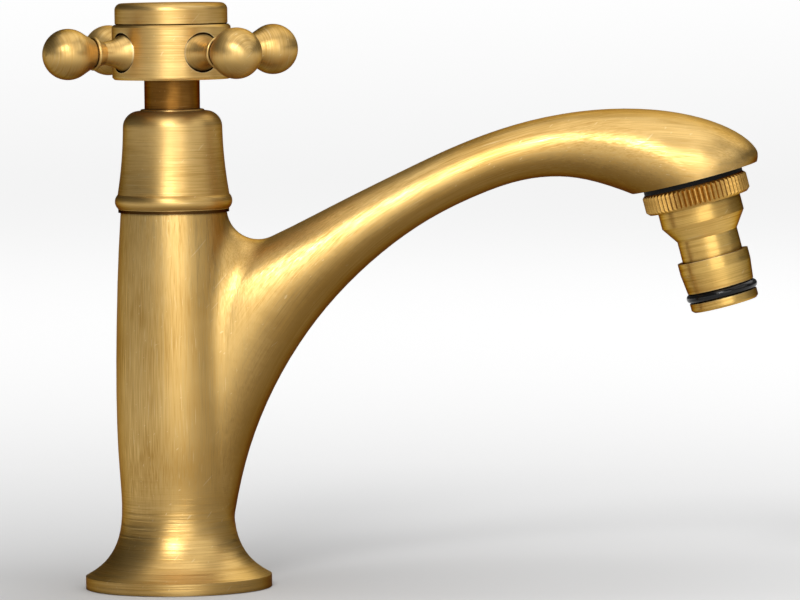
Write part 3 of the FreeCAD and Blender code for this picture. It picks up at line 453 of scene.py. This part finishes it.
def adapter_brass():
    surface = Surface("adapter_brass")
    brush = Lathe(surface, OUTLET_PLACE, OUTLET_AXIS, NIPPLE_RADIUS)
    below_knurl = surface.math("GREATER_THAN", brush.along, KNURL_END)
    metal = two_metals(surface, below_knurl, KNURL_BRASS, YELLOW_BRASS)
    # The adapter takes less of the painted corner shade
    brushed(surface, brush, metal, roughness=0.36, shade_in_corners=0.6)
    return surface.material


def valve_metal(name, metal):
    surface = Surface(name)
    brushed(surface, Lathe(surface, ORIGIN, UP, COLUMN_RADIUS), metal, roughness=0.3)
    return surface.material


def rubber(name, roughness, gloss):
    surface = Surface(name)
    grain = surface.noise(surface.place, RUBBER_GRAIN_SCALE, RUBBER_GRAIN_DETAIL)
    dust = surface.noise(surface.place, DUST_SCALE, MOTTLE_DETAIL)
    surface.set("Base Color", surface.mix(surface.spread(dust, *DUST_SPAN), RUBBER_CLEAN, RUBBER_DUSTY))
    rough = surface.spread(dust, *MOTTLE_SPAN, roughness - CLEAN_SMOOTHER, roughness + DUST_ROUGHER)
    surface.set("Roughness", rough)
    surface.set("Specular IOR Level", gloss)
    surface.set("Normal", surface.bump(grain, GRAIN_DEPTH))
    return surface.material


def moulded(name, colour, shade, roughness, mottle_scale):
    surface = Surface(name)
    mottle = surface.noise(surface.place, mottle_scale, MOTTLE_DETAIL)
    surface.set("Base Color", surface.mix(surface.spread(mottle, *MOTTLE_SPAN), shade, colour))
    rough = surface.spread(mottle, *MOTTLE_SPAN, roughness + MOTTLE_ROUGHNESS, roughness - MOTTLE_ROUGHNESS)
    surface.set("Roughness", rough)
    surface.set("Normal", surface.bump(mottle, GRAIN_DEPTH))
    return surface.material


def thread_ring(shape, step):
    # The ridge's four corners at one step round the screw, which runs out into the spigot at both ends
    turn = step / THREAD_STEPS
    side = OUTLET_AXIS.orthogonal().normalized()
    angle = 2 * math.pi * turn
    outward = side * math.cos(angle) + OUTLET_AXIS.cross(side) * math.sin(angle)
    middle = OUTLET_PLACE + OUTLET_AXIS * (THREAD_START + THREAD_PITCH * turn)
    from_end = min(turn, THREAD_TURNS - turn)
    height = min(1.0, from_end / THREAD_RUN_OUT) * (THREAD_HEIGHT + THREAD_SUNK) - THREAD_SUNK
    foot = SPIGOT_RADIUS - THREAD_ROOT_SUNK
    crest = SPIGOT_RADIUS + height
    corners = ((foot, -THREAD_FOOT), (crest, -THREAD_CREST), (crest, THREAD_CREST), (foot, THREAD_FOOT))
    return [shape.verts.new(middle + outward * radius + OUTLET_AXIS * along) for radius, along in corners]


def thread(material):
    shape = bmesh.new()
    rings = [thread_ring(shape, step) for step in range(round(THREAD_TURNS * THREAD_STEPS) + 1)]
    for ring, following in zip(rings, rings[1:]):
        for corner in range(len(ring)):
            other = (corner + 1) % len(ring)
            shape.faces.new((ring[corner], ring[other], following[other], following[corner]))
    shape.faces.new(reversed(rings[0]))
    shape.faces.new(rings[-1])
    bmesh.ops.recalc_face_normals(shape, faces=shape.faces)
    mesh = bpy.data.meshes.new("adapter_thread")
    shape.to_mesh(mesh)
    shape.free()
    mesh.materials.append(material)
    ridge = bpy.data.objects.new("adapter_thread", mesh)
    bpy.context.scene.collection.objects.link(ridge)
    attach(ridge, "adapter")


def dress(material, *names):
    for name in names:
        piece = frame["nodes"][name]
        piece.data.materials.clear()
        piece.data.materials.append(material)


def dress_spokes():
    for index in range(SPOKE_COUNT):
        name = f"handle_spoke_{index + 1}"
        low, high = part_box(name)
        turn = math.radians(HANDLE_ANGLE + index * 360 / SPOKE_COUNT)
        axis = Vector((math.cos(turn), math.sin(turn), 0))
        centre = UP * (low.z + high.z) / 2
        dress(spoke_brass(f"{name}_brass", centre, axis), name)


def dress_valve():
    # The pieces hidden in the column, and the seals
    flat_rubber = rubber("washer_rubber", roughness=0.7, gloss=0.2)
    dress(flat_rubber, "outlet_washer", "base_gasket", "seat_seal")
    ring_rubber = rubber("ring_rubber", roughness=0.18, gloss=0.3)
    dress(ring_rubber, "adapter_o_ring", "spindle_o_ring_lower", "spindle_o_ring_upper")
    dress(valve_metal("valve_brass", RAW_BRASS), "headwork_body", "spindle")
    dress(valve_metal("stainless", STEEL), "spindle_clip", "handle_screw")
    fibre = moulded("fibre", (0.42, 0.12, 0.07), (0.3, 0.08, 0.045), roughness=0.75, mottle_scale=900.0)
    dress(fibre, "headwork_washer")
    ceramic = moulded("ceramic", (0.88, 0.87, 0.83), (0.8, 0.79, 0.74), roughness=0.15, mottle_scale=300.0)
    dress(ceramic, "fixed_disc", "moving_disc")
    polymer = moulded("polymer", (0.82, 0.82, 0.8), (0.74, 0.74, 0.71), roughness=0.45, mottle_scale=500.0)
    dress(polymer, "thrust_washer")


def dress_tap():
    dress(casting_brass(), "tap_body")
    dress(bonnet_brass(), "bonnet", "index_cap")
    dress(hub_brass(), "handle_hub")
    dress_spokes()
    turned_adapter = adapter_brass()
    dress(turned_adapter, "hose_adapter")
    thread(turned_adapter)
    dress_valve()


# The floor, lit by the lamps near the tap and white of itself far off, half of it at HALF_WHITE; its own
# white fades out towards the tap, a painted shade round the foot that the metal reflects too
FLOOR_REACH = 11.0
FLOOR_DROP = 0.1 * MILLIMETRE
FLOOR_COLOUR = (0.55, 0.55, 0.55)
FLOOR_ROUGHNESS = 0.9
HALF_WHITE = 0.4


def seen_as_background(surface):
    # 1 for rays that show the floor to the camera, straight or in metal or glass
    rays = surface.add("ShaderNodeLightPath").outputs
    mirrored = surface.math("MAXIMUM", rays["Is Glossy Ray"], rays["Is Transmission Ray"])
    return surface.math("MAXIMUM", rays["Is Camera Ray"], mirrored)


def floor():
    mesh = bpy.data.meshes.new("floor")
    reach = FLOOR_REACH
    corners = [(-reach, -reach), (reach, -reach), (reach, reach), (-reach, reach)]
    mesh.from_pydata([(x, y, -FLOOR_DROP) for x, y in corners], [], [(0, 1, 2, 3)])
    ground = bpy.data.objects.new("floor", mesh)
    bpy.context.scene.collection.objects.link(ground)
    surface = Surface("floor")
    surface.set("Base Color", opaque(FLOOR_COLOUR))
    surface.set("Roughness", FLOOR_ROUGHNESS)
    surface.set("Specular IOR Level", 0.0)
    surface.set("Emission Color", WHITE)
    away = surface.vector("LENGTH", surface.place)
    # Painted shade: the floor's own white falls off towards the tap
    white = surface.math("DIVIDE", away, surface.math("ADD", away, HALF_WHITE))
    surface.set("Emission Strength", surface.math("MULTIPLY", seen_as_background(surface), white))
    mesh.materials.append(surface.material)


# The photograph's camera, and the point that it and the lamps are turned to
TARGET = Vector((52.3, 0.0, 66.3)) * MILLIMETRE
CAMERA_DISTANCE = 1.45
CAMERA_PITCH = 3.6
CAMERA_ROLL = -0.7
CAMERA_LENS = 280.6
SENSOR_WIDTH = 36.0


def soft_lamp(name, azimuth, elevation, distance, width, height, power):
    # Azimuth 0 is beside the camera and turns to the right as the camera sees it
    turn = math.radians(azimuth)
    rise = math.radians(elevation)
    away = Vector((math.sin(turn) * math.cos(rise), -math.cos(turn) * math.cos(rise), math.sin(rise)))
    light = bpy.data.lights.new(name, "AREA")
    light.shape = "RECTANGLE"
    light.size = width
    light.size_y = height
    light.energy = power
    lamp = bpy.data.objects.new(name, light)
    lamp.location = TARGET + away * distance
    lamp.rotation_mode = "QUATERNION"
    lamp.rotation_quaternion = (-away).to_track_quat("-Z", "Y")
    lamp.visible_camera = False
    bpy.context.scene.collection.objects.link(lamp)


def world(grey):
    studio = bpy.data.worlds.new("studio")
    studio.use_nodes = True
    studio.node_tree.nodes["Background"].inputs["Color"].default_value = (grey, grey, grey, 1)
    bpy.context.scene.world = studio


def camera():
    pitch = math.radians(CAMERA_PITCH)
    forward = Vector((0, math.cos(pitch), -math.sin(pitch)))
    lens = bpy.data.cameras.new("camera")
    lens.lens = CAMERA_LENS
    lens.sensor_width = SENSOR_WIDTH
    eye = bpy.data.objects.new("camera", lens)
    eye.location = TARGET - forward * CAMERA_DISTANCE
    eye.rotation_mode = "QUATERNION"
    roll = Quaternion((0, 0, 1), math.radians(CAMERA_ROLL))
    eye.rotation_quaternion = forward.to_track_quat("-Z", "Y") @ roll
    bpy.context.scene.collection.objects.link(eye)
    bpy.context.scene.camera = eye


dress_tap()
floor()
soft_lamp("key", azimuth=-13, elevation=33, distance=1.2, width=0.28, height=0.28, power=6.0)
soft_lamp("top", azimuth=0, elevation=85, distance=1.1, width=1.1, height=1.0, power=5.0)
soft_lamp("front", azimuth=8, elevation=13, distance=1.5, width=1.1, height=0.6, power=6.0)
soft_lamp("right_fill", azimuth=58, elevation=34, distance=1.3, width=1.0, height=0.8, power=2.8)
soft_lamp("back", azimuth=150, elevation=46, distance=1.3, width=1.7, height=0.7, power=5.4)
world(grey=0.06)
camera()
bpy.context.scene.view_settings.view_transform = "Standard"
